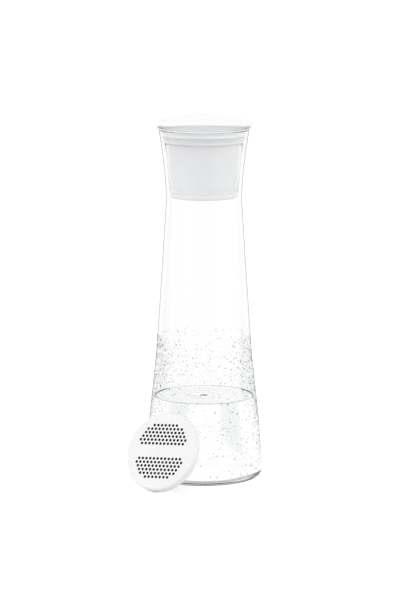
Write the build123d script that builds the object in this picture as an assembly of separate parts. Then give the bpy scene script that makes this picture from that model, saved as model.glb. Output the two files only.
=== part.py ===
from build123d import *
import math
import os

# A clear table carafe with a filter insert in its neck, an arched flip lid and two round filter discs.
# Millimetres. The carafe stands on z = 0 with its axis on Z, and the front looks along -Y.

# Carafe
base_r = 50.6          # the wall carried down to the table
base_corner = 7.5
swell = 2.76           # how far the heel stands out from the cone above it
swell_low_z = 29.0
swell_top_z = 120.0
waist_r = 32.2
carafe_h = 300.0
neck_h = 60.0          # from the waist up to the rim
flare_power = 1.5
wall = 2.0
floor_t = 2.6
floor_dome = 0.8
floor_corner = 5.5
body_shares = (0.125, 0.25, 0.375, 0.52, 0.73)
neck_shares = (0.35, 0.7)

# Fits
seat_gap = 0.3         # between pieces that part or move
lap_gap = 0.1          # in a glued or clipped lap
press_gap = 0.02       # round a pressed pin or a stretched ring

# Filter disc
disc_r = 34.2
disc_t = 7.4
disc_edge = 1.5
shell_face = 1.0
shell_rim = 1.2
shell_seam = 0.25
fleece_t = 0.8
hole_d = 2.2
hole_pitch = 3.72
hole_rows = (12, 13, 12, 11, 10, 7)
bare_band = 13.2       # the plain band across the middle, between the first two rows of holes

# Collar
flange_t = 0.9
flange_over = 1.2
flange_round = 0.35
collar_wall = 0.7
collar_gap = 1.3       # from the collar's wall to the inside of the vessel's rim
disc_play = 0.4
disc_proud = 2.6       # how far the fitted disc stands above the flange
ledge_t = 1.6
ledge_w = 3.8
groove_count = 12
groove_deep = 0.8
groove_angle = 9.0
spigot_h = 5.2
spigot_wall = 1.0
spigot_lip = 0.4
spigot_lip_t = 0.8

# Seal
seal_space = 1.12      # between the spigot's lower end and the neck
seal_base_t = 0.5
lip_count = 3
lip_pitch = 1.55
lip_root = 0.7
lip_tip = 0.3
glass_gap = 0.35

# Cups
cup_rise = 7.5         # the cups' lower end above the waist
cup_gap = 0.88         # between the outer cup's lower end and the neck
outer_wall = 1.3
inner_wall = 1.5
inner_floor = 1.6
inner_flange_t = 1.4
pour_low = 1.3         # the pouring channel between the cups, at its lower and upper ends
pour_top = 1.0
pour_slots = 12
pour_slot_angle = 18.0

# Outlet cap and its twist lock
cap_gap = 0.7          # between the cap and the waist
cap_h = 5.3
cap_floor = 1.2
cap_wall = 1.1
cap_round = 2.2
skirt_in = 3.0         # from the inner cup's side in to its skirt
skirt_wall = 1.6
skirt_h = 4.0
lug_count = 3
lug_out = 1.6
lug_t = 1.6
lug_low = 0.8
lug_angle = 24.0
twist = 30.0
lock_play = 1.0
lock_wall = 0.7
spout_r = 5.0
spout_wall = 1.2
spout_play = 0.6
gasket_t = 3.0
gasket_waist = 0.8

# Flip lid and hinge
lid_over = 2.9
lid_t = 2.6
lid_arch_r = 240.0
lid_gap = 2.1          # between the flange and the lid's lowest sides
lid_round = 1.1
mark_r = 5.5
mark_deep = 0.4
hinge_out = 2.1        # the pin beyond the lid
hinge_up = 3.1         # the pin above the flange
pin_r = 1.25
pin_play = 0.1
pin_head_r = 1.8
pin_head_t = 0.8
knuckle_r = 2.6
knuckle_w = 12.0
ear_r = 2.8
ear_w = 3.0
heel_long = 4.4
heel_t = 1.6
heel_drop = 1.8        # the stop block below the flange
open_angle = 100.0

# How the loose disc leans on the carafe
lean = 27.0
lean_faces = 34.6
lean_place = 32.2
lean_spin = 5.4

waist_z = carafe_h - neck_h
bore_r = disc_r + disc_play
collar_r = bore_r + collar_wall
mouth_r = collar_r + collar_gap + wall
flange_low = carafe_h + seat_gap
flange_top = flange_low + flange_t
flange_r = mouth_r + flange_over
ledge_top = flange_top + disc_proud - disc_t
ledge_low = ledge_top - ledge_t
spigot_low = ledge_low - spigot_h
cup_low = waist_z + cup_rise
cap_top = cup_low - seat_gap
cap_low = cap_top - cap_h
lid_r = mouth_r + lid_over
hinge_y = lid_r + hinge_out
hinge_z = flange_top + hinge_up
ear_in = knuckle_w / 2 + seat_gap
ear_out = ear_in + ear_w


def smooth(share):
    share = min(max(share, 0.0), 1.0)
    return share * share * (3 - 2 * share)


def vessel_r(z):
    # outside radius: a cone with a swelling heel below the waist, a widening mouth above it
    if z >= waist_z:
        return waist_r + (mouth_r - waist_r) * ((z - waist_z) / (carafe_h - waist_z)) ** flare_power
    cone = waist_r + (base_r - swell - waist_r) * (1 - z / waist_z)
    return cone + swell * smooth((swell_top_z - z) / (swell_top_z - swell_low_z))


spigot_r = vessel_r(spigot_low) - wall - seal_space
outer_top_r = spigot_r - lap_gap
outer_low_r = vessel_r(cup_low) - wall - cup_gap
neck_r = spigot_r - spigot_wall - lap_gap
neck_in = neck_r - outer_wall
inner_top_r = neck_in - pour_top
inner_low_r = outer_low_r - outer_wall - pour_low
cap_r = waist_r - wall - cap_gap
skirt_r = inner_low_r - skirt_in
lid_under_r = lid_arch_r - lid_t
lid_rise = lid_under_r - math.sqrt(lid_under_r ** 2 - flange_r ** 2) + lid_gap
lid_top = flange_top + lid_rise + lid_t


def sector(r_in, r_out, low, top, start, angle):
    section = Pos((r_in + r_out) / 2, 0, (low + top) / 2) * (Plane.XZ * Rectangle(r_out - r_in, top - low))
    return Rot(0, 0, start) * revolve(section, Axis.Z, revolution_arc=angle)


def around(count, r_in, r_out, low, top, angle, start=0.0):
    pieces = [sector(r_in, r_out, low, top, start + i * 360 / count, angle) for i in range(count)]
    return Part() + pieces


def turned(points):
    # a solid turned about Z from straight runs between (radius, height) corners
    return revolve(make_face(Polyline(*[(r, 0, z) for r, z in points], close=True)), Axis.Z)


def carafe():
    rim = wall / 2
    body_z = [base_corner + (waist_z - base_corner) * s for s in body_shares]
    neck_z = [waist_z + (carafe_h - waist_z) * s for s in neck_shares]
    outer_z = [base_corner] + body_z + [waist_z] + neck_z + [carafe_h - rim]
    inner_z = [floor_t + floor_corner] + body_z + [waist_z] + neck_z + [carafe_h - rim]
    outer = [(vessel_r(z), 0, z) for z in outer_z]
    inner = [(vessel_r(z) - wall, 0, z) for z in reversed(inner_z)]
    foot = (outer[0][0] - base_corner, 0, 0)
    floor_edge = (inner[-1][0] - floor_corner, 0, floor_t)
    quarter = math.sqrt(0.5)
    corner_mid = (foot[0] + base_corner * quarter, 0, base_corner * (1 - quarter))
    floor_mid = (floor_edge[0] + floor_corner * quarter, 0, floor_t + floor_corner * (1 - quarter))
    profile = Wire([
        Line((0, 0, 0), foot),
        ThreePointArc(foot, corner_mid, outer[0]),
        Spline(*outer),
        ThreePointArc(outer[-1], (mouth_r - rim, 0, carafe_h), inner[0]),
        Spline(*inner),
        ThreePointArc(inner[-1], floor_mid, floor_edge),
        Spline(floor_edge, (0, 0, floor_t + floor_dome), tangents=[(-1, 0, 0), (-1, 0, 0)]),
        Line((0, 0, floor_t + floor_dome), (0, 0, 0)),
    ])
    return revolve(Face(profile), Axis.Z)


def collar():
    spigot_in = spigot_r - spigot_wall
    ledge_in = bore_r - ledge_w
    body = turned([
        (bore_r, flange_top), (flange_r, flange_top), (flange_r, flange_low), (collar_r, flange_low),
        (collar_r, ledge_low), (spigot_r, ledge_low), (spigot_r, spigot_low + spigot_lip_t),
        (spigot_r + spigot_lip, spigot_low + spigot_lip_t), (spigot_r + spigot_lip, spigot_low),
        (spigot_in, spigot_low), (spigot_in, ledge_low), (ledge_in, ledge_low),
        (ledge_in, ledge_top), (bore_r, ledge_top),
    ])
    rims = body.edges().filter_by(GeomType.CIRCLE).filter_by(lambda e: abs(e.radius - flange_r) < 1e-6)
    body = fillet(rims, flange_round)
    body -= around(groove_count, ledge_in - 1, bore_r, ledge_top - groove_deep, flange_top + 1, groove_angle)
    return body + guard_ring() + hinge_ears()


def guard_ring():
    # rises from the flange and follows the underside of the closed lid
    low, high = flange_top - flange_t / 2, lid_top - lid_t
    ring = turned([(bore_r, low), (bore_r, high), (collar_r, high), (collar_r, low)])
    arch = Rot(90, 0, 0) * Cylinder(lid_under_r - seat_gap, 3 * lid_r)
    return ring & Pos(0, 0, lid_top - lid_arch_r) * arch


def hinge_ears():
    inside = mouth_r + seat_gap
    stop_y = heel_stop_y()
    low = flange_low - heel_drop
    outline = [
        (0, inside, low), (0, stop_y, low), (0, hinge_y + ear_r, hinge_z),
        (0, hinge_y - ear_r, hinge_z), (0, inside, flange_top),
    ]
    ears = Part()
    for side in (-1, 1):
        middle = side * (ear_in + ear_out) / 2
        cheek = extrude(make_face(Polyline(*outline, close=True)), ear_w / 2, dir=(1, 0, 0), both=True)
        eye = Rot(0, 90, 0) * Cylinder(ear_r, ear_w)
        ears += Pos(middle, 0, 0) * (cheek + Pos(0, hinge_y, hinge_z) * eye)
    block_top = hinge_z - knuckle_r - seat_gap
    block = Box(2 * ear_in, stop_y - inside, block_top - low)
    ears += Pos(0, (inside + stop_y) / 2, (low + block_top) / 2) * block
    return ears - Pos(0, hinge_y, hinge_z) * Rot(0, 90, 0) * Cylinder(pin_r + press_gap, 3 * ear_out)


def heel_stop_y():
    # where the heel's front corner stands when the lid is fully open
    a = math.radians(open_angle)
    return hinge_y + heel_long * math.cos(a) - heel_t / 2 * math.sin(a) - seat_gap


def seal_ring():
    inside = spigot_r + press_gap
    low = spigot_low + spigot_lip_t
    top = ledge_low
    base = inside + seal_base_t
    first = (low + top) / 2 - (lip_count - 1) * lip_pitch / 2
    points = [(inside, low), (base, low)]
    for i in range(lip_count):
        z = first + i * lip_pitch
        tip = vessel_r(z) - wall - glass_gap
        points += [(base, z - lip_root / 2), (tip, z - lip_tip / 2)]
        points += [(tip, z + lip_tip / 2), (base, z + lip_root / 2)]
    points += [(base, top), (inside, top)]
    return turned(points)


def outer_cup():
    top = ledge_low - inner_flange_t
    return turned([
        (outer_low_r - outer_wall, cup_low), (outer_low_r, cup_low), (outer_top_r, spigot_low),
        (neck_r, spigot_low), (neck_r, top), (neck_in, top), (neck_in, spigot_low),
        (outer_top_r - outer_wall, spigot_low - 2 * outer_wall),
    ])


def inner_cup():
    flange_z = ledge_low - inner_flange_t
    spout_in = spout_r - spout_wall
    skirt_low = cup_low - skirt_h
    body = turned([
        (spout_in, cap_low), (spout_r, cap_low), (spout_r, cup_low), (skirt_r - skirt_wall, cup_low),
        (skirt_r - skirt_wall, skirt_low), (skirt_r, skirt_low), (skirt_r, cup_low), (inner_low_r, cup_low),
        (inner_top_r, spigot_low), (inner_top_r, flange_z), (neck_r, flange_z), (neck_r, ledge_low),
        (inner_top_r - inner_wall, ledge_low), (inner_top_r - inner_wall, spigot_low),
        (inner_low_r - inner_wall, cup_low + inner_floor), (spout_in, cup_low + inner_floor),
    ])
    body -= around(pour_slots, inner_top_r + lap_gap, neck_in - lap_gap,
                   flange_z - 1, ledge_low + 1, pour_slot_angle)
    lug_z = skirt_low + lug_low
    lug_root = skirt_r - skirt_wall / 2
    return body + around(lug_count, lug_root, skirt_r + lug_out, lug_z, lug_z + lug_t, lug_angle)


def outlet_cap():
    lock_in = skirt_r + seat_gap
    pocket_r = skirt_r + lug_out + seat_gap
    lock_out = pocket_r + lock_wall
    floor_top = cap_low + cap_floor
    body = turned([
        (spout_r + spout_play, cap_low), (cap_r, cap_low), (cap_r, cap_top), (cap_r - cap_wall, cap_top),
        (cap_r - cap_wall, floor_top), (lock_out, floor_top), (lock_out, cap_top), (lock_in, cap_top),
        (lock_in, floor_top), (spout_r + spout_play, floor_top),
    ])
    foot = body.edges().filter_by(GeomType.CIRCLE).filter_by(lambda e: abs(e.radius - cap_r) < 1e-6)
    body = fillet(foot.sort_by(Axis.Z)[0], min(cap_round, 2 * cap_wall))
    lug_z = cup_low - skirt_h + lug_low
    run = lug_angle + twist + 2 * lock_play
    inward = lock_in - seat_gap / 2
    body -= around(lug_count, inward, pocket_r, lug_z - seat_gap, lug_z + lug_t + seat_gap, run, -lock_play)
    mouth = lug_angle + 2 * lock_play
    body -= around(lug_count, inward, pocket_r, lug_z, cap_top + 1, mouth, twist - lock_play)
    body -= around(pour_slots, lock_out + lap_gap, cap_r - cap_wall - lap_gap,
                   cap_low - 1, floor_top + 1, pour_slot_angle)
    return body


def outlet_gasket():
    inside = spout_r + press_gap
    outside = inside + gasket_t
    low = cap_low + cap_floor + seat_gap
    middle = (low + cup_low) / 2
    return turned([
        (inside, low), (outside, low), (outside - gasket_waist, middle),
        (outside, cup_low), (inside, cup_low),
    ])


def flip_lid():
    # drawn with the crown at height 0, then lifted into place
    pin = Pos(0, hinge_y, hinge_z - lid_top)
    arch = Pos(0, 0, -lid_arch_r) * Rot(90, 0, 0) * (
        Cylinder(lid_arch_r, 3 * lid_r) - Cylinder(lid_under_r, 4 * lid_r))
    plate = arch & Cylinder(lid_r, lid_arch_r)
    plate = fillet(plate.edges().filter_by(lambda e: e.length > 4 * lid_r), min(lid_round, 0.4 * lid_t))
    plate -= Cylinder(mark_r, 2 * mark_deep)
    arm_in = math.sqrt(lid_r ** 2 - (knuckle_w / 2) ** 2) - lid_t
    arm = [
        (0, hinge_y, hinge_z + knuckle_r - lid_top), (0, hinge_y - knuckle_r, hinge_z - lid_top),
        (0, arm_in, -0.85 * lid_t), (0, arm_in, -0.3 * lid_t),
    ]
    knuckle = extrude(make_face(Polyline(*arm, close=True)), knuckle_w / 2, dir=(1, 0, 0), both=True)
    knuckle += pin * Pos(0, heel_long / 2, 0) * Box(knuckle_w, heel_long, heel_t)
    knuckle += pin * Rot(0, 90, 0) * Cylinder(knuckle_r, knuckle_w)
    lid = plate + knuckle - pin * Rot(0, 90, 0) * Cylinder(pin_r + pin_play, 2 * knuckle_w)
    return Pos(0, 0, lid_top) * lid


def hinge_pin():
    rod = Cylinder(pin_r, 2 * ear_out)
    head = Pos(0, 0, ear_out + pin_head_t / 2) * Cylinder(pin_head_r, pin_head_t)
    return Pos(0, hinge_y, hinge_z) * Rot(0, 90, 0) * (rod + head)


def row_heights():
    step = hole_pitch * math.sqrt(3) / 2
    upper = [(bare_band / 2 + i * step, count) for i, count in enumerate(hole_rows)]
    return upper + [(-y, count) for y, count in upper]


def disc_shell(cuts):
    # one half of the disc's case, face down on z = 0, with its seam at mid height
    half = disc_t / 2
    quarter = disc_edge * (1 - math.sqrt(0.5))
    inside = disc_r - shell_rim
    profile = make_face([
        Polyline((disc_r - disc_edge, 0, 0), (inside - shell_rim, 0, 0), (inside - shell_rim, 0, shell_face),
                 (inside, 0, shell_face), (inside, 0, half), (disc_r - shell_seam, 0, half),
                 (disc_r, 0, half - shell_seam), (disc_r, 0, disc_edge)),
        ThreePointArc((disc_r, 0, disc_edge), (disc_r - quarter, 0, quarter), (disc_r - disc_edge, 0, 0)),
    ])
    plate = Face(Wire.make_circle(inside - shell_rim), cuts)
    return revolve(profile, Axis.Z) + extrude(plate, shell_face, dir=(0, 0, 1))


def round_holes():
    hole = RegularPolygon(hole_d / 2, 6).wire()
    places = [((i - (n - 1) / 2) * hole_pitch, y) for y, n in row_heights() for i in range(n)]
    return [Pos(x, y) * hole for x, y in places]


def long_slots():
    return [Pos(0, y) * Rectangle((n - 1) * hole_pitch + hole_d, hole_d).wire() for y, n in row_heights()]


def filter_disc():
    pad_r = disc_r - shell_rim - seat_gap
    pad_t = disc_t - 2 * (shell_face + fleece_t)
    return {
        "base_shell": disc_shell(long_slots()),
        "lower_fleece": Pos(0, 0, shell_face + fleece_t / 2) * Cylinder(pad_r, fleece_t),
        "carbon_pad": Pos(0, 0, disc_t / 2) * Cylinder(pad_r, pad_t),
        "upper_fleece": Pos(0, 0, disc_t - shell_face - fleece_t / 2) * Cylinder(pad_r, fleece_t),
        "top_shell": Pos(0, 0, disc_t) * Rot(180, 0, 0) * disc_shell(round_holes()),
    }


def leaning_place():
    # Stands the disc on its lower back edge with its upper back edge against the carafe's wall.
    tip = math.radians(lean)
    facing = math.radians(lean_faces)
    toward = math.radians(lean_place)
    normal = Vector(-math.sin(facing) * math.cos(tip), -math.cos(facing) * math.cos(tip), math.sin(tip))
    level = Vector(math.cos(facing), -math.sin(facing), 0)
    slope = normal.cross(level)
    if slope.Z < 0:
        slope = slope * -1
    bead_r = disc_r - disc_edge
    bead = Vector(0, 0, bead_r * math.cos(tip) + disc_edge)
    away = Vector(-math.sin(toward), -math.cos(toward), 0)
    out = 0.0
    for i in range(0, 180, 3):
        turn = math.radians(i)
        p = bead + level * (bead_r * math.cos(turn)) + slope * (bead_r * math.sin(turn))
        reach = vessel_r(p.Z) + seat_gap + disc_edge
        along = p.X * away.X + p.Y * away.Y
        inside = along ** 2 - p.X ** 2 - p.Y ** 2 + reach ** 2
        if inside > 0:
            out = max(out, math.sqrt(inside) - along)
    back = bead + away * out - normal * disc_edge
    return Location(Plane(origin=back, x_dir=level, z_dir=normal)) * Rot(0, 0, lean_spin)


parts = {
    "carafe": carafe(),
    "collar": collar(),
    "seal_ring": seal_ring(),
    "outer_cup": outer_cup(),
    "inner_cup": inner_cup(),
    "outlet_cap": outlet_cap(),
    "outlet_gasket": outlet_gasket(),
    "flip_lid": flip_lid(),
    "hinge_pin": hinge_pin(),
}
for name, piece in filter_disc().items():
    parts[f"fitted_{name}"] = Pos(0, 0, ledge_top) * piece
    parts[f"leaning_{name}"] = leaning_place() * piece

os.makedirs("parts", exist_ok=True)
for name, piece in parts.items():
    export_step(piece, f"parts/{name}.step")
print("hinge axis", 0, round(hinge_y, 3), round(hinge_z, 3))
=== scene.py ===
import math
import random
import bpy
import bmesh
from mathutils import Matrix, Vector


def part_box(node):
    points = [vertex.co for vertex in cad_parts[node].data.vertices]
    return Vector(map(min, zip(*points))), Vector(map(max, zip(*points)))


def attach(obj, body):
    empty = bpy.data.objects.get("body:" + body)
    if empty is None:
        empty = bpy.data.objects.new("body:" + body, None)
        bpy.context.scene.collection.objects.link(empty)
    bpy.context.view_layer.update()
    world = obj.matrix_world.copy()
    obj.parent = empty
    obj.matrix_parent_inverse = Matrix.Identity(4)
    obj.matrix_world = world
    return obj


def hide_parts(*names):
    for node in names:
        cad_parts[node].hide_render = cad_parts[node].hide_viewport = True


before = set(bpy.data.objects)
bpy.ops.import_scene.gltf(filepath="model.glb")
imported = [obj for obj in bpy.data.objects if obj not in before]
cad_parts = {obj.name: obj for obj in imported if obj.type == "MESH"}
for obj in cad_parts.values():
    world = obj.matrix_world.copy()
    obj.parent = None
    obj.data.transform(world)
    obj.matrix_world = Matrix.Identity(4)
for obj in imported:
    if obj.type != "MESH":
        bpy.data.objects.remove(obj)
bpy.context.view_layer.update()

mm = 0.001
tiny = 1e-7


# Shared helpers

def arc(centre, radius, startDegrees, endDegrees, count=8):
    sweep = endDegrees - startDegrees
    angles = [math.radians(startDegrees + sweep * i / count) for i in range(count + 1)]
    return [(centre[0] + radius * math.cos(a), centre[1] + radius * math.sin(a)) for a in angles]


def between(low, high, count):
    return [low + (high - low) * i / count for i in range(count + 1)]


def spun(outline, steps, closed=False):
    # turns a (radius, height) outline about Z; points on the axis close the poles
    bm = bmesh.new()
    verts = [bm.verts.new((r, 0, z)) for r, z in outline]
    pairs = list(zip(verts, verts[1:])) + ([(verts[-1], verts[0])] if closed else [])
    edges = [bm.edges.new(pair) for pair in pairs]
    bmesh.ops.spin(bm, geom=verts + edges, cent=(0, 0, 0), axis=(0, 0, 1), angle=2 * math.pi,
                   steps=steps, use_merge=True)
    bmesh.ops.remove_doubles(bm, verts=bm.verts[:], dist=tiny)
    bmesh.ops.recalc_face_normals(bm, faces=bm.faces[:])
    return bm


def linked(name, data):
    holder = bpy.data.objects.new(name, data)
    bpy.context.scene.collection.objects.link(holder)
    return holder


def meshObject(bm, name):
    mesh = bpy.data.meshes.new(name)
    bm.to_mesh(mesh)
    bm.free()
    return linked(name, mesh)


def finishPiece(bm, name, body, materials, standsFor=(), sharpDegrees=32.0):
    piece = meshObject(bm, name)
    mesh = piece.data
    for material in materials:
        mesh.materials.append(material)
    mesh.polygons.foreach_set("use_smooth", [True] * len(mesh.polygons))
    mesh.set_sharp_from_angle(angle=math.radians(sharpDegrees))
    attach(piece, body)
    if standsFor:
        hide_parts(*standsFor)


def beveled(bm, edges, width, segments=3):
    bmesh.ops.bevel(bm, geom=edges, offset=width, affect="EDGES", segments=segments, profile=0.5, material=-1)


# Materials

clear = {
    "glassIndex": 1.47,
    "waterIndex": 1.333,
    "lampShare": 0.985,
    "fadeBack": (-32 * mm, 24 * mm),
}
moulding = {
    "cloudScale": 45.0,
    "cloudDetail": 3.0,
    "cloudStops": (0.35, 0.7),
    "sheen": 0.35,
    "grainDetail": 2.0,
    "grainStrength": 0.25,
}


def newMaterial(name):
    material = bpy.data.materials.new(name)
    material.use_nodes = True
    tree = material.node_tree
    shader = tree.nodes["Principled BSDF"]
    return material, tree, shader


def emptyTree(holder):
    holder.use_nodes = True
    holder.node_tree.nodes.clear()
    return holder.node_tree


def objectPlace(tree):
    return tree.nodes.new("ShaderNodeTexCoord").outputs["Object"]


def axesOf(tree, vector):
    parts = tree.nodes.new("ShaderNodeSeparateXYZ")
    tree.links.new(vector, parts.inputs["Vector"])
    return parts.outputs


def objectNoise(tree, scale, detail=4.0, roughness=0.5):
    noise = tree.nodes.new("ShaderNodeTexNoise")
    noise.inputs["Scale"].default_value = scale
    noise.inputs["Detail"].default_value = detail
    noise.inputs["Roughness"].default_value = roughness
    tree.links.new(objectPlace(tree), noise.inputs["Vector"])
    return noise


def ramp(tree, source, stops):
    node = tree.nodes.new("ShaderNodeValToRGB")
    tree.links.new(source, node.inputs["Fac"])
    elements = node.color_ramp.elements
    while len(elements) < len(stops):
        elements.new(0.5)
    for element, (position, colour) in zip(elements, stops):
        element.position = position
        element.color = (*colour, 1.0)
    return node


def bump(tree, shader, height, strength, distance):
    node = tree.nodes.new("ShaderNodeBump")
    node.inputs["Strength"].default_value = strength
    node.inputs["Distance"].default_value = distance
    tree.links.new(height, node.inputs["Height"])
    tree.links.new(node.outputs["Normal"], shader.inputs["Normal"])


def lampsThrough(tree, shader):
    # lets lamps and soft light pass the clear piece unbent, so that what it holds is lit
    path = tree.nodes.new("ShaderNodeLightPath")
    unbent = tree.nodes.new("ShaderNodeBsdfTransparent")
    unbent.inputs["Color"].default_value = (*[clear["lampShare"]] * 3, 1)
    surface = shader.outputs["BSDF"]
    for ray in ("Is Shadow Ray", "Is Diffuse Ray"):
        choose = tree.nodes.new("ShaderNodeMixShader")
        tree.links.new(path.outputs[ray], choose.inputs["Fac"])
        tree.links.new(surface, choose.inputs[1])
        tree.links.new(unbent.outputs["BSDF"], choose.inputs[2])
        surface = choose.outputs["Shader"]
    tree.links.new(surface, tree.nodes["Material Output"].inputs["Surface"])


def clearMaterial(name, index, edgeShade=None, faceColour=(1.0, 1.0, 1.0), roughness=0.0, edge=(0.6, 0.85)):
    # see-through all over, with a painted shade that greys it where the surface turns away
    material, tree, shader = newMaterial(name)
    shader.inputs["Transmission Weight"].default_value = 1.0
    shader.inputs["Roughness"].default_value = roughness
    shader.inputs["IOR"].default_value = index
    shader.inputs["Base Color"].default_value = (*faceColour, 1)
    if edgeShade:
        facing = tree.nodes.new("ShaderNodeLayerWeight")
        facing.inputs["Blend"].default_value = 0.5
        stops = [(0.0, faceColour), (edge[0], faceColour), (edge[1], edgeShade)]
        tint = ramp(tree, facing.outputs["Facing"], stops)
        tree.links.new(tint.outputs["Color"], shader.inputs["Base Color"])
    lampsThrough(tree, shader)
    return material


def fading(tree, value, start, end):
    # 0 at start, 1 at end, and smooth between them
    node = tree.nodes.new("ShaderNodeMapRange")
    node.interpolation_type = "SMOOTHSTEP"
    node.inputs["From Min"].default_value = start
    node.inputs["From Max"].default_value = end
    tree.links.new(value, node.inputs["Value"])
    return node.outputs["Result"]


def shadedRimMaterial(name, index, frontShade, backShade):
    # a clear rim with a painted shade, darker towards the front
    material = clearMaterial(name, index)
    tree = material.node_tree
    share = fading(tree, axesOf(tree, objectPlace(tree))["Y"], *clear["fadeBack"])
    tone = ramp(tree, share, [(0.0, frontShade), (1.0, backShade)])
    tree.links.new(tone.outputs["Color"], tree.nodes["Principled BSDF"].inputs["Base Color"])
    return material


def mouldedPlastic(name, light, dark, roughness, grain, depth, through=0.0):
    # plastic with a faint cloud in its colour and a fine moulded grain, and a share of light that comes through
    material, tree, shader = newMaterial(name)
    cloud = objectNoise(tree, moulding["cloudScale"], moulding["cloudDetail"])
    tone = ramp(tree, cloud.outputs["Fac"], list(zip(moulding["cloudStops"], (dark, light))))
    tree.links.new(tone.outputs["Color"], shader.inputs["Base Color"])
    shader.inputs["Roughness"].default_value = roughness
    shader.inputs["Specular IOR Level"].default_value = moulding["sheen"]
    if through:
        lit = tree.nodes.new("ShaderNodeBsdfTranslucent")
        mixed = tree.nodes.new("ShaderNodeMixShader")
        mixed.inputs["Fac"].default_value = through
        tree.links.new(tone.outputs["Color"], lit.inputs["Color"])
        tree.links.new(shader.outputs["BSDF"], mixed.inputs[1])
        tree.links.new(lit.outputs["BSDF"], mixed.inputs[2])
        tree.links.new(mixed.outputs["Shader"], tree.nodes["Material Output"].inputs["Surface"])
    grains = objectNoise(tree, grain, moulding["grainDetail"])
    bump(tree, shader, grains.outputs["Fac"], moulding["grainStrength"], depth)
    return material


def pressedCarbon(name):
    material, tree, shader = newMaterial(name)
    grains = tree.nodes.new("ShaderNodeTexVoronoi")
    grains.inputs["Scale"].default_value = 1400.0
    tree.links.new(objectPlace(tree), grains.inputs["Vector"])
    tone = ramp(tree, grains.outputs["Distance"], [(0.0, (0.035, 0.035, 0.037)), (0.8, (0.006, 0.006, 0.006))])
    tree.links.new(tone.outputs["Color"], shader.inputs["Base Color"])
    shader.inputs["Roughness"].default_value = 0.75
    bump(tree, shader, grains.outputs["Distance"], strength=0.6, distance=0.3 * mm)
    return material


def darkFleece(name):
    material, tree, shader = newMaterial(name)
    fibres = objectNoise(tree, 900.0, detail=8.0, roughness=0.75)
    tone = ramp(tree, fibres.outputs["Fac"], [(0.3, (0.003, 0.003, 0.0035)), (0.75, (0.014, 0.014, 0.015))])
    tree.links.new(tone.outputs["Color"], shader.inputs["Base Color"])
    shader.inputs["Roughness"].default_value = 0.95
    bump(tree, shader, fibres.outputs["Fac"], strength=0.5, distance=0.2 * mm)
    return material


def drawnSteel(name):
    material, tree, shader = newMaterial(name)
    lines = tree.nodes.new("ShaderNodeTexNoise")
    stretch = tree.nodes.new("ShaderNodeMapping")
    stretch.inputs["Scale"].default_value = (40.0, 2500.0, 2500.0)
    lines.inputs["Scale"].default_value = 1.0
    tree.links.new(objectPlace(tree), stretch.inputs["Vector"])
    tree.links.new(stretch.outputs["Vector"], lines.inputs["Vector"])
    tone = ramp(tree, lines.outputs["Fac"], [(0.3, (0.5, 0.5, 0.51)), (0.7, (0.66, 0.66, 0.67))])
    tree.links.new(tone.outputs["Color"], shader.inputs["Base Color"])
    shader.inputs["Metallic"].default_value = 1.0
    shader.inputs["Roughness"].default_value = 0.32
    return material


def passingMaterial(name):
    # for the water's side and floor, where the wet glass already bends the light
    material = bpy.data.materials.new(name)
    tree = emptyTree(material)
    passing = tree.nodes.new("ShaderNodeBsdfTransparent")
    output = tree.nodes.new("ShaderNodeOutputMaterial")
    tree.links.new(passing.outputs["BSDF"], output.inputs["Surface"])
    return material


wetIndex = clear["glassIndex"] / clear["waterIndex"]
# painted shade: the edge colours grey the glass, water and clear plastic where they turn away
clearGlass = clearMaterial("clearGlass", clear["glassIndex"], edgeShade=(0.58, 0.61, 0.6), edge=(0.74, 0.93))
innerGlass = clearMaterial("innerGlass", clear["glassIndex"])
# near-black painted shade on the edges of the foot, where they turn away
footGlass = clearMaterial("footGlass", index=1.12, edgeShade=(0.08, 0.085, 0.085), edge=(0.4, 0.62))
restingGlass = clearMaterial("restingGlass", index=1.02)
wetGlass = clearMaterial("wetGlass", wetIndex)
# painted shade along the inner foot of the glass, darker towards the front
innerFootShade = shadedRimMaterial("innerFootShade", wetIndex, frontShade=(0.3, 0.32, 0.32), backShade=(0.95, 0.96, 0.96))
water = clearMaterial("water", clear["waterIndex"], edgeShade=(0.52, 0.56, 0.55), edge=(0.7, 0.95))
# painted shade on the water: a dark meniscus line, a dark middle and two grey ripple rings
waterEdgeShade = shadedRimMaterial("waterEdgeShade", index=1.01, frontShade=(0.2, 0.23, 0.22), backShade=(0.6, 0.63, 0.62))
rippleRingShade = clearMaterial("rippleRingShade", index=1.05, faceColour=(0.6, 0.63, 0.62))
rippleCentreShade = clearMaterial("rippleCentreShade", index=1.02, faceColour=(0.1, 0.11, 0.11))
# painted shade on the drops: greyed faces and near-black edges
shadedDroplet = clearMaterial("shadedDroplet", clear["waterIndex"], edgeShade=(0.02, 0.025, 0.025),
                        faceColour=(0.7, 0.72, 0.72), edge=(0.25, 0.75))
clearPlastic = clearMaterial("clearPlastic", index=1.25, edgeShade=(0.9, 0.91, 0.905), roughness=0.02,
                             edge=(0.75, 0.95))
lidPlastic = mouldedPlastic("lidPlastic", (0.98, 0.98, 0.98), (0.965, 0.965, 0.97),
                            roughness=0.38, grain=900.0, depth=0.01 * mm, through=0.1)
insertPlastic = mouldedPlastic("insertPlastic", (0.9, 0.905, 0.915), (0.88, 0.887, 0.9),
                               roughness=0.42, grain=1400.0, depth=0.02 * mm)
discPlastic = mouldedPlastic("discPlastic", (0.85, 0.85, 0.855), (0.83, 0.83, 0.84),
                             roughness=0.48, grain=1600.0, depth=0.03 * mm)
cupPlastic = mouldedPlastic("cupPlastic", (0.83, 0.835, 0.845), (0.81, 0.817, 0.83),
                            roughness=0.42, grain=1400.0, depth=0.02 * mm)
sealSilicone = mouldedPlastic("sealSilicone", (0.89, 0.895, 0.9), (0.87, 0.875, 0.885),
                              roughness=0.55, grain=1000.0, depth=0.02 * mm, through=0.1)
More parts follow.
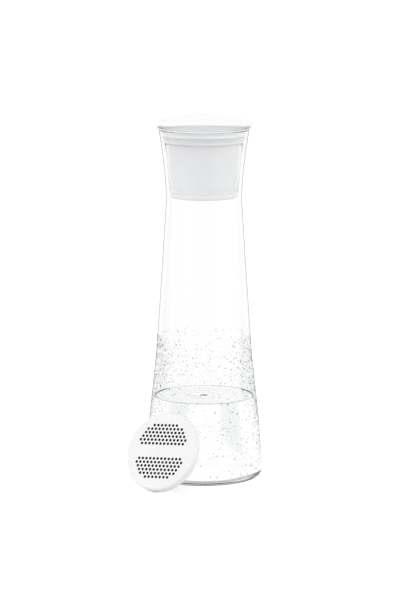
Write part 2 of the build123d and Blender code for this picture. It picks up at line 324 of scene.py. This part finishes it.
# near-black painted shade for the walls of the disc's holes, in place of the shade inside them
holeWallShade = mouldedPlastic("holeWallShade", (0.012, 0.012, 0.012), (0.006, 0.006, 0.006),
                            roughness=0.8, grain=1600.0, depth=0.03 * mm)
carbon = pressedCarbon("carbon")
fleece = darkFleece("fleece")
pinSteel = drawnSteel("pinSteel")
sharedWater = passingMaterial("unseenWaterSide")
print("materials made:", len(bpy.data.materials))


# Carafe

vessel = {
    "baseRadius": 50.6 * mm,
    "corner": 7.5 * mm,
    "swell": 2.76 * mm,
    "swellLow": 29 * mm,
    "swellTop": 120 * mm,
    "waistRadius": 32.2 * mm,
    "waistHeight": 240 * mm,
    "mouthRadius": 38.6 * mm,
    "height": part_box("carafe")[1].z,
    "flare": 1.5,
    "wall": 2 * mm,
    "floor": 2.6 * mm,
    "dome": 0.8 * mm,
    "innerCorner": 5.5 * mm,
    "waterLevel": 71 * mm,
    "footLineOut": 36 * mm,
    "footLineTop": 4.1 * mm,
    "insideAbove": 0.7,  # shares of the floor and the wall that tell the inside from the outside
    "insideWithin": 0.6,
    "flatBelow": 0.01 * mm,
    "steps": 176,
}


def vesselRadius(z):
    if z >= vessel["waistHeight"]:
        share = (z - vessel["waistHeight"]) / (vessel["height"] - vessel["waistHeight"])
        widening = vessel["mouthRadius"] - vessel["waistRadius"]
        return vessel["waistRadius"] + widening * share ** vessel["flare"]
    slope = vessel["baseRadius"] - vessel["swell"] - vessel["waistRadius"]
    step = min(max((vessel["swellTop"] - z) / (vessel["swellTop"] - vessel["swellLow"]), 0), 1)
    cone = vessel["waistRadius"] + slope * (1 - z / vessel["waistHeight"])
    return cone + vessel["swell"] * step * step * (3 - 2 * step)


def innerRadius(z):
    return vesselRadius(z) - vessel["wall"]


def floorHeight(r, flatRadius):
    return vessel["floor"] + vessel["dome"] * (1 - (r / flatRadius) ** 2) ** 2


def innerOutline(top, inset=0.0):
    # the inside of the vessel, from a height down to the middle of its floor
    turn = vessel["floor"] + vessel["innerCorner"]
    flatRadius = innerRadius(turn) - vessel["innerCorner"]
    wall = [(innerRadius(z) - inset, z) for z in between(top, turn, count=60)]
    corner = arc((flatRadius, turn), vessel["innerCorner"] - inset, 0, -90, count=10)
    base = [(r, floorHeight(r, flatRadius) + inset) for r in between(flatRadius, 0, count=16)]
    return wall + corner[1:] + base[1:]


def glassAt(centre):
    # each part of the glass bends light by what it touches: air, water or the table
    r = math.hypot(centre.x, centre.y)
    innerSkin = vesselRadius(centre.z) - vessel["wall"] * vessel["insideWithin"]
    if centre.z > vessel["floor"] * vessel["insideAbove"] and r < innerSkin:
        if r > vessel["footLineOut"] and centre.z < vessel["footLineTop"]:
            return innerFootShade
        return wetGlass if centre.z < vessel["waterLevel"] else innerGlass
    if centre.z < vessel["flatBelow"]:
        return restingGlass
    return footGlass if centre.z < vessel["corner"] else clearGlass


def makeCarafe():
    rim, corner = vessel["wall"] / 2, vessel["corner"]
    foot = arc((vesselRadius(corner) - corner, corner), corner, -90, 0, count=12)
    outer = [(vesselRadius(z), z) for z in between(corner, vessel["height"] - rim, count=90)]
    lip = arc((vessel["mouthRadius"] - rim, vessel["height"] - rim), rim, 0, 180, count=10)
    dry = [(innerRadius(z), z) for z in between(vessel["height"] - rim, vessel["waterLevel"], count=70)]
    outline = [(0, 0)] + foot + outer[1:] + lip[1:] + dry[1:] + innerOutline(vessel["waterLevel"])[1:]
    bm = spun(outline, vessel["steps"])
    glass = [clearGlass, innerGlass, wetGlass, footGlass, restingGlass, innerFootShade]
    for face in bm.faces:
        face.material_index = glass.index(glassAt(face.calc_center_median()))
    finishPiece(bm, "carafeGlass", "vessel", glass, ["carafe"])


makeCarafe()
print("carafe blown")


# Water, its ripples and the drops left on the wall

ripple = {
    "height": 0.7 * mm,
    "length": 8.5 * mm,
    "reach": 9.0 * mm,
    "meniscus": 1.1 * mm,
    "meniscusReach": 1.3 * mm,
    "rimWidth": 1.1 * mm,
    "centre": 3.6 * mm,
    "rings": ((7.6 * mm, 8.3 * mm), (13.2 * mm, 14.1 * mm)),
    "inset": 0.03 * mm,
    "facesUp": 0.2,
    "topShare": 0.9,
}


def waterHeight(r, edge):
    wave = ripple["height"] * math.cos(2 * math.pi * r / ripple["length"]) * math.exp(-r / ripple["reach"])
    climb = ripple["meniscus"] * math.exp((r - edge) / ripple["meniscusReach"])
    return vessel["waterLevel"] - ripple["meniscus"] - wave + climb


def waterAt(face, edge):
    # the rim, the middle and two rings of the surface get painted shade, drawn as darker lines
    centre = face.calc_center_median()
    r = math.hypot(centre.x, centre.y)
    if face.normal.z < ripple["facesUp"] or centre.z < ripple["topShare"] * vessel["waterLevel"]:
        return sharedWater
    if r > edge - ripple["rimWidth"]:
        return waterEdgeShade
    if r < ripple["centre"]:
        return rippleCentreShade
    return rippleRingShade if any(low < r < high for low, high in ripple["rings"]) else water


def makeWater():
    edge = innerRadius(vessel["waterLevel"]) - ripple["inset"]
    surface = [(r, waterHeight(r, edge)) for r in between(0, edge, count=150)]
    sides = innerOutline(vessel["waterLevel"], ripple["inset"])[1:]
    bm = spun(surface + sides, vessel["steps"])
    looks = [water, sharedWater, waterEdgeShade, rippleCentreShade, rippleRingShade]
    for face in bm.faces:
        face.material_index = looks.index(waterAt(face, edge))
    finishPiece(bm, "waterBody", "vessel", looks, sharpDegrees=60)


drops = {
    "count": 5500,
    "batch": 100,
    "low": 8 * mm,
    "high": 124 * mm,
    "smallest": 0.2 * mm,
    "largest": 0.65 * mm,
    "flatness": 0.55,
    "rarity": 3,  # the higher, the fewer the big drops
    "runny": (0.9, 1.5),
    "seed": 7,
    "frontShare": 0.12,
}


def dropPlace():
    # more drops cling to the left and right than to the front and back
    while True:
        turn = random.uniform(0, 2 * math.pi)
        if random.random() < drops["frontShare"] + (1 - drops["frontShare"]) * math.cos(turn) ** 4:
            return turn, drops["low"] + (drops["high"] - drops["low"]) * random.random()


def makeDrops():
    random.seed(drops["seed"])
    bm, batch = bmesh.new(), bmesh.new()
    for index in range(drops["count"]):
        turn, z = dropPlace()
        size = drops["smallest"] + (drops["largest"] - drops["smallest"]) * random.random() ** drops["rarity"]
        outward = Matrix.Rotation(turn, 4, "Z")
        seat = outward @ Vector((vesselRadius(z), 0, 0))
        shape = Matrix.Translation((seat.x, seat.y, z)) @ outward @ Matrix.Diagonal(
            (size * drops["flatness"], size, size * random.uniform(*drops["runny"]), 1))
        bmesh.ops.create_icosphere(batch, subdivisions=1, radius=1.0, matrix=shape)
        if index % drops["batch"] == drops["batch"] - 1:  # small batches are much quicker to fill
            part = bpy.data.meshes.new("dropBatch")
            batch.to_mesh(part)
            bm.from_mesh(part)
            batch.clear()
            bpy.data.meshes.remove(part)
    batch.free()
    finishPiece(bm, "wallDrops", "vessel", [shadedDroplet], sharpDegrees=180)


makeWater()
makeDrops()
print("water poured, drops:", drops["count"])


# Filter insert

insert = {
    "rimGap": 0.3 * mm,
    "flangeThick": 0.9 * mm,
    "guardTop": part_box("flip_lid")[1].z - 2.9 * mm,
    "guardArch": 237.1 * mm,
    "archAbove": 1 * mm,
    "boreRadius": 34.6 * mm,
    "collarRadius": 35.3 * mm,
    "flangeRadius": 39.8 * mm,
    "ledgeRadius": 30.8 * mm,
    "ledgeThick": 1.6 * mm,
    "spigotSpace": 1.12 * mm,
    "spigotWall": 1.0 * mm,
    "spigotHeight": 5.2 * mm,
    "spigotLip": 0.4 * mm,
    "spigotLipThick": 0.8 * mm,
    "soften": 0.3 * mm,
    "steps": 144,
}
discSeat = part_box("fitted_base_shell")[0].z
spigotLow = discSeat - insert["ledgeThick"] - insert["spigotHeight"]
spigotRadius = innerRadius(spigotLow) - insert["spigotSpace"]


def rounded(outline, radius, count=3, most=0.45):
    # a closed outline with every corner softened, by no more than this share of each side
    soft = []
    for index, corner in enumerate(outline):
        before = Vector(outline[index - 1])
        here = Vector(corner)
        after = Vector(outline[(index + 1) % len(outline)])
        cut = min(radius, (before - here).length * most, (after - here).length * most)
        start = here + (before - here).normalized() * cut
        end = here + (after - here).normalized() * cut
        for share in between(0, 1, count):
            point = start * (1 - share) ** 2 + here * 2 * share * (1 - share) + end * share ** 2
            soft.append((point.x, point.y))
    return soft


def ringOfEdges(bm, points):
    verts = [bm.verts.new(point) for point in points]
    return [bm.edges.new(pair) for pair in zip(verts, verts[1:] + verts[:1])]


plate = {"soften": 0.25 * mm, "holeSteps": 28, "sharp": 1.0}


def plateAcross(bm, x0, x1, outline, hole=None, soften=plate["soften"]):
    # a flat plate between two x places, drawn in (y, z), with a round hole for the pin
    edges = ringOfEdges(bm, [(x0, y, z) for y, z in outline])
    if hole:
        edges += ringOfEdges(bm, [(x0, y, z) for y, z in arc(*hole, 0, 360, plate["holeSteps"])[:-1]])
    filled = bmesh.ops.triangle_fill(bm, use_beauty=True, use_dissolve=True, edges=edges, normal=(1, 0, 0))
    faces = [f for f in filled["geom"] if isinstance(f, bmesh.types.BMFace)]
    pushed = bmesh.ops.extrude_face_region(bm, geom=faces, use_keep_orig=True)["geom"]
    far = [v for v in pushed if isinstance(v, bmesh.types.BMVert)]
    bmesh.ops.translate(bm, verts=far, vec=(x1 - x0, 0, 0))
    made = {v for f in faces for v in f.verts} | set(far)
    bmesh.ops.recalc_face_normals(bm, faces=list({f for v in made for f in v.link_faces}))
    if soften:
        rims = [e for e in bm.edges if e.verts[0] in made and e.verts[1] in made and len(e.link_faces) == 2
                and abs(e.verts[0].co.x - e.verts[1].co.x) < tiny and e.calc_face_angle() > plate["sharp"]]
        beveled(bm, rims, soften, segments=2)


ribs = {"heights": (295.5 * mm, 297.9 * mm), "root": 0.6 * mm, "tip": 0.3 * mm, "press": 0.03 * mm}


def lipPoints(z, base, tip, root, end):
    # one lip out from the base and back, seen in section
    return [(base, z - root / 2), (tip, z - end / 2), (tip, z + end / 2), (base, z + root / 2)]


def makeCollar():
    flangeLow = vessel["height"] + insert["rimGap"]
    flangeTop = flangeLow + insert["flangeThick"]
    ledgeLow = discSeat - insert["ledgeThick"]
    spigotIn = spigotRadius - insert["spigotWall"]
    lipTop = spigotLow + insert["spigotLipThick"]
    outline = [
        (insert["boreRadius"], insert["guardTop"]), (insert["collarRadius"], insert["guardTop"]),
        (insert["collarRadius"], flangeTop), (insert["flangeRadius"], flangeTop),
        (insert["flangeRadius"], flangeLow), (insert["collarRadius"], flangeLow)]
    for z in reversed(ribs["heights"]):
        tip = innerRadius(z) + ribs["press"]
        outline += reversed(lipPoints(z, insert["collarRadius"], tip, ribs["root"], ribs["tip"]))
    outline += [
        (insert["collarRadius"], ledgeLow), (spigotRadius, ledgeLow),
        (spigotRadius, lipTop), (spigotRadius + insert["spigotLip"], lipTop),
        (spigotRadius + insert["spigotLip"], spigotLow), (spigotIn, spigotLow), (spigotIn, ledgeLow),
        (insert["ledgeRadius"], ledgeLow), (insert["ledgeRadius"], discSeat), (insert["boreRadius"], discSeat),
    ]
    bm = spun(rounded(outline, insert["soften"]), insert["steps"], closed=True)
    for vert in bm.verts:
        if vert.co.z > flangeTop + insert["archAbove"]:  # the guard ring follows the arch of the lid
            vert.co.z -= insert["guardArch"] - math.sqrt(insert["guardArch"] ** 2 - vert.co.x ** 2)
    addHingeEars(bm, flangeLow, flangeTop)
    finishPiece(bm, "insertCollar", "insert", [insertPlastic], ["collar"])


pinHead = 1.8 * mm
hinge = {
    "y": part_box("hinge_pin")[0].y + pinHead,
    "z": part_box("hinge_pin")[0].z + pinHead,
    "holeRadius": 1.3 * mm,
    "earRadius": 2.8 * mm,
    "earInside": 6.3 * mm,
    "earWidth": 3.0 * mm,
    "earFrom": -49,
    "knuckleRadius": 2.6 * mm,
    "knuckleWidth": 12.0 * mm,
    "stopY": 41.75 * mm,
    "drop": 1.8 * mm,
    "heelLong": 4.4 * mm,
    "heelThick": 1.6 * mm,
    "armLow": 0.85,  # where the arm leaves the lid's edge, in shares of its thickness
    "armHigh": 0.3,
}


def addHingeEars(bm, flangeLow, flangeTop):
    inside = vessel["mouthRadius"] + insert["rimGap"]
    low = flangeLow - hinge["drop"]
    axis = (hinge["y"], hinge["z"])
    ear = arc(axis, hinge["earRadius"], hinge["earFrom"], 180, count=26)
    cheek = [(inside, low), (hinge["stopY"], low)] + ear + [(inside, flangeTop)]
    for side in (-1, 1):
        near = side * hinge["earInside"]
        plateAcross(bm, near, near + side * hinge["earWidth"], cheek, (axis, hinge["holeRadius"]))
    stopTop = hinge["z"] - hinge["knuckleRadius"] - insert["rimGap"]
    block = [(inside, low), (hinge["stopY"], low), (hinge["stopY"], stopTop), (inside, stopTop)]
    plateAcross(bm, -hinge["earInside"], hinge["earInside"], block, soften=0)


makeCollar()


seal = {
    "base": 0.85 * mm,
    "heights": (291.9 * mm, 293.1 * mm, 294.3 * mm),
    "root": 0.6 * mm,
    "tip": 0.3 * mm,
    "press": 0.03 * mm,
    "play": 0.02 * mm,
    "soften": 0.15 * mm,
}


def makeSeal():
    low = spigotLow + insert["spigotLipThick"]
    top = discSeat - insert["ledgeThick"]
    inside = spigotRadius + seal["play"]
    base = inside + seal["base"]
    outline = [(inside, low), (base, low)]
    for z in seal["heights"]:
        outline += lipPoints(z, base, innerRadius(z) + seal["press"], seal["root"], seal["tip"])
    outline += [(base, top), (inside, top)]
    bm = spun(rounded(outline, seal["soften"]), insert["steps"], closed=True)
    finishPiece(bm, "lippedSeal", "insert", [sealSilicone], ["seal_ring"])


makeSeal()


cups = {
    "low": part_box("outer_cup")[0].z,
    "outerLow": 29.6 * mm,
    "outerWall": 1.3 * mm,
    "innerLow": 27.0 * mm,
    "channel": 1.0 * mm,
    "innerWall": 1.5 * mm,
    "innerFloor": 1.6 * mm,
    "flangeThick": 1.4 * mm,
    "lap": 0.1 * mm,
    "seamLap": 0.22 * mm,  # the white cup's foot reaches down this far, nearly to the cap
    "footRing": 1.0 * mm,
    "skirtRadius": 24.0 * mm,
    "skirtWall": 1.6 * mm,
    "skirtHigh": 4.0 * mm,
    "spoutRadius": 5.0 * mm,
    "spoutWall": 1.2 * mm,
    "soften": 0.2 * mm,
}
sleeveRadius = spigotRadius - cups["lap"]
neckRadius = spigotRadius - insert["spigotWall"] - cups["lap"]
innerTop = neckRadius - cups["outerWall"] - cups["channel"]


def makeOuterCup():
    low = cups["low"] + cups["footRing"]
    wall = cups["outerWall"]
    top = discSeat - insert["ledgeThick"] - cups["flangeThick"]
    outline = [
        (cups["outerLow"] - wall, low), (cups["outerLow"], low), (sleeveRadius, spigotLow),
        (neckRadius, spigotLow), (neckRadius, top), (neckRadius - wall, top), (neckRadius - wall, spigotLow),
        (sleeveRadius - wall, spigotLow - 2 * wall),
    ]
    bm = spun(rounded(outline, cups["soften"]), insert["steps"], closed=True)
    finishPiece(bm, "clearSleeve", "insert", [clearPlastic], ["outer_cup"])


def makeInnerCup():
    low = cups["low"]
    flangeTop = discSeat - insert["ledgeThick"]
    flangeLow = flangeTop - cups["flangeThick"]
    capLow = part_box("outlet_cap")[0].z
    skirtLow = low - cups["skirtHigh"]
    spoutIn = cups["spoutRadius"] - cups["spoutWall"]
    seam = low - cups["seamLap"]
    outline = [
        (spoutIn, capLow), (cups["spoutRadius"], capLow), (cups["spoutRadius"], low),
        (cups["skirtRadius"] - cups["skirtWall"], low), (cups["skirtRadius"] - cups["skirtWall"], skirtLow),
        (cups["skirtRadius"], skirtLow), (cups["skirtRadius"], seam), (cups["outerLow"], seam),
        (cups["outerLow"], low + cups["footRing"]), (cups["innerLow"], low + cups["footRing"]),
        (innerTop, spigotLow), (innerTop, flangeLow), (neckRadius, flangeLow),
        (neckRadius, flangeTop), (innerTop - cups["innerWall"], flangeTop),
        (innerTop - cups["innerWall"], spigotLow),
        (cups["innerLow"] - cups["innerWall"], low + cups["innerFloor"]), (spoutIn, low + cups["innerFloor"]),
    ]
    bm = spun(rounded(outline, cups["soften"]), insert["steps"], closed=True)
    finishPiece(bm, "whiteCup", "insert", [cupPlastic], ["inner_cup"])


makeOuterCup()
makeInnerCup()
print("insert built")


# Flip lid

lid = {
    "radius": 41.5 * mm,
    "thick": 2.6 * mm,
    "arch": 240 * mm,
    "round": 1.04 * mm,
    "crown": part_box("flip_lid")[1].z,
    "border": 1.5 * mm,
    "borderHigh": 0.45 * mm,
    "borderSlope": 0.25 * mm,
    "markRadius": 5.5 * mm,
    "markDeep": 0.4 * mm,
    "markSlope": 0.5 * mm,
    "steps": 192,
}


def makeLid():
    crown, soft, r, thick = lid["crown"], lid["round"], lid["radius"], lid["thick"]
    mark, field = lid["markRadius"], crown - lid["borderHigh"]
    dish = [(x, field - lid["markDeep"]) for x in between(0, mark - lid["markSlope"], count=4)]
    top = [(x, field) for x in between(mark, r - soft - lid["border"], count=20)]
    top += [(top[-1][0] + lid["borderSlope"], crown), (r - soft, crown)]
    edge = arc((r - soft, crown - soft), soft, 90, 0, count=6)
    edge += arc((r - soft, crown - thick + soft), soft, 0, -90, count=6)
    under = [(x, crown - thick) for x in between(r - soft, 0, count=22)]
    bm = spun(dish + top + edge[1:] + under[1:], lid["steps"])
    for vert in bm.verts:
        flat = crown - vert.co.z
        vert.co.z -= (lid["arch"] - flat) - math.sqrt((lid["arch"] - flat) ** 2 - vert.co.x ** 2)
    addKnuckle(bm)
    finishPiece(bm, "archedLid", "lid", [lidPlastic], ["flip_lid"])


def addKnuckle(bm):
    half, r = hinge["knuckleWidth"] / 2, hinge["knuckleRadius"]
    axis = (hinge["y"], hinge["z"])
    root = math.sqrt(lid["radius"] ** 2 - half ** 2) - lid["thick"]
    heel = hinge["heelThick"] / 2
    turn = math.degrees(math.asin(heel / r))
    back = hinge["y"] + hinge["heelLong"]
    arm = [(root, lid["crown"] - hinge["armLow"] * lid["thick"])]
    arm += arc(axis, r, 180, 360 - turn, count=20) + [(back, hinge["z"] - heel), (back, hinge["z"] + heel)]
    arm += arc(axis, r, turn, 90, count=10) + [(root, lid["crown"] - hinge["armHigh"] * lid["thick"])]
    plateAcross(bm, -half, half, arm, (axis, hinge["holeRadius"]))


makeLid()
print("lid arched")


# Filter discs

disc = {
    "radius": 34.2 * mm,
    "thick": 7.4 * mm,
    "edge": 1.5 * mm,
    "face": 0.4 * mm,
    "rim": 1.2 * mm,
    "seam": 0.25 * mm,
    "hole": 2.5 * mm,
    "pitch": 3.72 * mm,
    "rows": (12, 13, 12, 11, 10, 7),
    "bareBand": 13.2 * mm,
    "holeSides": 14,
    "slotSides": 12,
    "steps": 144,
    "lean": 27.0,
    "faces": 34.6,
    "spin": 5.4,
}


def leaningTurn():
    tip, facing = math.radians(disc["lean"]), math.radians(disc["faces"])
    normal = Vector((-math.sin(facing) * math.cos(tip), -math.cos(facing) * math.cos(tip), math.sin(tip)))
    level = Vector((math.cos(facing), -math.sin(facing), 0))
    slope = normal.cross(level)
    spin = Matrix.Rotation(math.radians(disc["spin"]), 4, "Z")
    return Matrix((level, slope, normal)).transposed().to_4x4() @ spin


def discPlace(which, turn):
    low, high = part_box(which + "_carbon_pad")
    return Matrix.Translation((low + high) / 2) @ turn


def rowHeights():
    step = disc["pitch"] * math.sqrt(3) / 2
    upper = [(disc["bareBand"] / 2 + index * step, count) for index, count in enumerate(disc["rows"])]
    return upper + [(-y, count) for y, count in upper]


def outlineEdges(made):
    return list({edge for vert in made["verts"] for edge in vert.link_edges})


def roundHoles(bm, z):
    edges = []
    for y, count in rowHeights():
        for index in range(count):
            x = (index - (count - 1) / 2) * disc["pitch"]
            made = bmesh.ops.create_circle(bm, cap_ends=False, segments=disc["holeSides"],
                                           radius=disc["hole"] / 2, matrix=Matrix.Translation((x, y, z)))
            edges += outlineEdges(made)
    return edges


def longSlots(bm, z):
    # one long slot in place of each row of holes
    edges = []
    halfStep = Matrix.Rotation(math.pi / disc["slotSides"], 4, "Z")
    for y, count in rowHeights():
        half = (count - 1) * disc["pitch"] / 2
        made = bmesh.ops.create_circle(bm, cap_ends=False, segments=disc["slotSides"], radius=disc["hole"] / 2,
                                       matrix=Matrix.Translation((0, y, z)) @ halfStep)
        for vert in made["verts"]:
            vert.co.x += half if vert.co.x > 0 else -half
        edges += outlineEdges(made)
    return edges


def makeShell(which, half, turn, cuts):
    # drawn with its face up at half the disc's thickness, then turned over for the base shell
    top = disc["thick"] / 2
    r, edge = disc["radius"], disc["edge"]
    holed = r - disc["rim"] * 2
    inside = r - disc["rim"]
    under = top - disc["face"]
    outline = [(holed, top)] + arc((r - edge, top - edge), edge, 90, 0, count=6)
    outline += [(r, disc["seam"]), (r - disc["seam"], 0), (inside, 0), (inside, under), (holed, under)]
    bm = spun(outline, disc["steps"])
    border = [e for e in bm.edges if e.is_boundary and all(abs(v.co.z - top) < tiny for v in e.verts)]
    lowBorder = [e for e in bm.edges if e.is_boundary and e not in border]
    holes = cuts(bm, top)
    bmesh.ops.triangle_fill(bm, use_beauty=True, use_dissolve=False, edges=border + holes, normal=(0, 0, 1))
    wells = bmesh.ops.extrude_edge_only(bm, edges=holes)["geom"]
    for face in wells:
        if isinstance(face, bmesh.types.BMFace):
            face.material_index = 1
    sunk = {v for v in wells if isinstance(v, bmesh.types.BMVert)}
    bmesh.ops.translate(bm, verts=list(sunk), vec=(0, 0, -disc["face"]))
    lower = [e for e in wells if isinstance(e, bmesh.types.BMEdge) and all(v in sunk for v in e.verts)]
    bmesh.ops.triangle_fill(bm, use_beauty=True, use_dissolve=False, edges=lowBorder + lower, normal=(0, 0, -1))
    bmesh.ops.remove_doubles(bm, verts=bm.verts[:], dist=tiny)
    bmesh.ops.recalc_face_normals(bm, faces=bm.faces[:])
    if half == "base":
        bmesh.ops.rotate(bm, verts=bm.verts[:], cent=(0, 0, 0), matrix=Matrix.Rotation(math.pi, 3, "X"))
    bmesh.ops.transform(bm, matrix=discPlace(which, turn), verts=bm.verts[:])
    body = {"fitted": "insert", "leaning": "loose_disc"}[which]
    looks = [discPlastic, holeWallShade]  # the sides of the holes get a near-black painted shade
    finishPiece(bm, which + half.title() + "Shell", body, looks,
                [which + "_" + half + "_shell"])


for which, turn in (("fitted", Matrix.Identity(4)), ("leaning", leaningTurn())):
    makeShell(which, "top", turn, roundHoles)
    makeShell(which, "base", turn, longSlots)
print("discs perforated")


# Finishes on the pieces that keep their own shape

finishes = {
    "outlet_cap": cupPlastic,
    "outlet_gasket": sealSilicone,
    "hinge_pin": pinSteel,
    "carbon_pad": carbon,
    "upper_fleece": fleece,
    "lower_fleece": fleece,
}
for name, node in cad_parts.items():
    for ending, material in finishes.items():
        if name.endswith(ending):
            node.data.materials.clear()
            node.data.materials.append(material)
print("finishes laid on")


# Studio

studio = {
    "floorSize": 60.0,
    "floorDrop": 0.1 * mm,
    "floorLift": 0.42,
    "floorTone": 0.82,
    "lowSky": 1.25,
    "highSky": 0.7,
    "skyEnds": (0.26, 0.6),
    "cardTone": (0.87, 0.895, 0.885),  # grey cards, with their angles in degrees
    "cardAngle": 15.5,
    "cardHalf": 4.0,
    "cardFade": 6.0,
    "cardFocus": (0, -0.08, 0),
    "cardNear": 0.06,
    "cardFar": 0.1,
    "windows": ((85, 30, 50, 0.5), (-115, 15, 40, 0.3)),  # centre, half width, fade, gain
    "darkBehind": ((180, 14, 14, -0.62), (-180, 14, 14, -0.62)),  # draws the outline of the glass
    "lamps": {
        "topPanel": ((-0.5, -0.7, 2.4), 1.6, 16.0),
        "rightPanel": ((2.1, -0.1, 0.85), 1.2, 5.0),
        "leftPanel": ((-2.0, -0.2, 0.8), 1.2, 2.0),
    },
    "aim": (0, 0, 0.16),
    "cameraPlace": (-0.003, -2.8, 0.615),
    "pitch": 9.38,
    "lens": 36.0 * 3323 / 601,  # sensor width times focal length over the picture's height, in pixels
    "clipEnd": 200,
}


def maths(tree, operation, first, second=None):
    node = tree.nodes.new("ShaderNodeMath")
    node.operation = operation
    for socket, value in zip(node.inputs, (first, second)):
        if isinstance(value, (int, float)):
            socket.default_value = value
        elif value is not None:
            tree.links.new(value, socket)
    return node.outputs["Value"]


def cardColours(tree, vector, nearby=None):
    # white, with soft grey cards to both sides of each main direction, seen only through clear pieces
    axes = axesOf(tree, vector)
    turn = maths(tree, "ARCTAN2", axes["X"], axes["Y"])
    folded = maths(tree, "PINGPONG", turn, math.pi / 4)
    off = maths(tree, "ABSOLUTE", maths(tree, "SUBTRACT", folded, math.radians(studio["cardAngle"])))
    edge = studio["cardHalf"] + studio["cardFade"]
    share = fading(tree, off, math.radians(edge), math.radians(studio["cardHalf"]))
    if nearby:
        share = maths(tree, "MULTIPLY", share, nearby)
    return ramp(tree, share, [(0.0, (1, 1, 1)), (1.0, studio["cardTone"])]).outputs["Color"]


def windowStrength(tree, vector, windows):
    # the mirrored room: white, brighter towards its windows and darker where the gain is below 0
    axes = axesOf(tree, vector)
    turn = maths(tree, "ARCTAN2", axes["X"], maths(tree, "MULTIPLY", axes["Y"], -1.0))
    total = 1.0
    for centre, half, fade, gain in windows:
        off = maths(tree, "ABSOLUTE", maths(tree, "SUBTRACT", turn, math.radians(centre)))
        share = fading(tree, off, math.radians(half + fade), math.radians(half))
        total = maths(tree, "ADD", maths(tree, "MULTIPLY", share, gain), total)
    return total


def seenBy(tree, surface, camera, mirrored, through):
    # a ray through clear pieces counts as glossy too, so its light is chosen last
    path = tree.nodes.new("ShaderNodeLightPath")
    for ray, light in (("Is Camera Ray", camera), ("Is Glossy Ray", mirrored), ("Is Transmission Ray", through)):
        choose = tree.nodes.new("ShaderNodeMixShader")
        tree.links.new(path.outputs[ray], choose.inputs["Fac"])
        tree.links.new(surface, choose.inputs[1])
        tree.links.new(light, choose.inputs[2])
        surface = choose.outputs["Shader"]
    return surface


def glow(tree, kind, colour=None, strength=1.0):
    light = tree.nodes.new(kind)
    light.inputs["Color"].default_value = (1, 1, 1, 1)
    if colour:
        tree.links.new(colour, light.inputs["Color"])
    if isinstance(strength, float):
        light.inputs["Strength"].default_value = strength
    else:
        tree.links.new(strength, light.inputs["Strength"])
    return light.outputs[0]


def floorMaterial():
    material = bpy.data.materials.new("paleSweep")
    tree = emptyTree(material)
    matt = tree.nodes.new("ShaderNodeBsdfDiffuse")
    matt.inputs["Color"].default_value = (*[studio["floorTone"]] * 3, 1)
    lift = tree.nodes.new("ShaderNodeEmission")
    lift.inputs["Strength"].default_value = studio["floorLift"]
    lifted = tree.nodes.new("ShaderNodeAddShader")
    tree.links.new(matt.outputs["BSDF"], lifted.inputs[0])
    tree.links.new(lift.outputs["Emission"], lifted.inputs[1])
    place = objectPlace(tree)
    distance = tree.nodes.new("ShaderNodeVectorMath")
    distance.operation = "LENGTH"
    tree.links.new(place, distance.inputs[0])
    away = fading(tree, distance.outputs["Value"], studio["cardNear"], studio["cardFar"])
    # on the floor the cards fan out from where the water brings the view together
    shifted = tree.nodes.new("ShaderNodeVectorMath")
    shifted.inputs[1].default_value = studio["cardFocus"]
    tree.links.new(place, shifted.inputs[0])
    cards = cardColours(tree, shifted.outputs["Vector"], away)
    windows = windowStrength(tree, place, studio["windows"] + studio["darkBehind"])
    surface = seenBy(tree, matt.outputs["BSDF"], camera=lifted.outputs["Shader"],
                     mirrored=glow(tree, "ShaderNodeEmission", None, windows),
                     through=glow(tree, "ShaderNodeEmission", cards))
    output = tree.nodes.new("ShaderNodeOutputMaterial")
    tree.links.new(surface, output.inputs["Surface"])
    return material


def makeFloor():
    bm = bmesh.new()
    bmesh.ops.create_grid(bm, x_segments=1, y_segments=1, size=studio["floorSize"] / 2,
                          matrix=Matrix.Translation((0, 0, -studio["floorDrop"])))
    floor = meshObject(bm, "paleFloor")
    floor.data.materials.append(floorMaterial())


def makeWorld():
    world = bpy.data.worlds.new("softRoom")
    tree = emptyTree(world)
    direction = tree.nodes.new("ShaderNodeTexCoord").outputs["Generated"]
    climb = fading(tree, axesOf(tree, direction)["Z"], *studio["skyEnds"])
    upper = [studio["highSky"] / studio["lowSky"]] * 3
    sky = ramp(tree, climb, [(0.0, (1, 1, 1)), (1.0, upper)]).outputs["Color"]
    windows = windowStrength(tree, direction, studio["windows"])
    cards = cardColours(tree, direction)
    surface = seenBy(tree, glow(tree, "ShaderNodeBackground", sky, studio["lowSky"]),
                     camera=glow(tree, "ShaderNodeBackground"),
                     mirrored=glow(tree, "ShaderNodeBackground", None, windows),
                     through=glow(tree, "ShaderNodeBackground", cards))
    output = tree.nodes.new("ShaderNodeOutputWorld")
    tree.links.new(surface, output.inputs["Surface"])
    bpy.context.scene.world = world


def makeLamp(name, place, size, power):
    lamp = bpy.data.lights.new(name, "AREA")
    lamp.shape = "DISK"
    lamp.size = size
    lamp.energy = power
    holder = linked(name, lamp)
    holder.location = place
    holder.rotation_euler = (Vector(studio["aim"]) - Vector(place)).to_track_quat("-Z", "Y").to_euler()
    holder.visible_glossy = False


def makeCamera():
    view = bpy.data.cameras.new("catalogueCamera")
    view.lens = studio["lens"]
    view.clip_end = studio["clipEnd"]
    holder = linked("catalogueCamera", view)
    holder.location = studio["cameraPlace"]
    holder.rotation_euler = (math.radians(90 - studio["pitch"]), 0, 0)
    bpy.context.scene.camera = holder


makeFloor()
makeWorld()
for lampName, (lampPlace, lampSize, lampPower) in studio["lamps"].items():
    makeLamp(lampName, lampPlace, lampSize, lampPower)
makeCamera()
bpy.context.scene.view_settings.view_transform = "Standard"
print("studio lit")
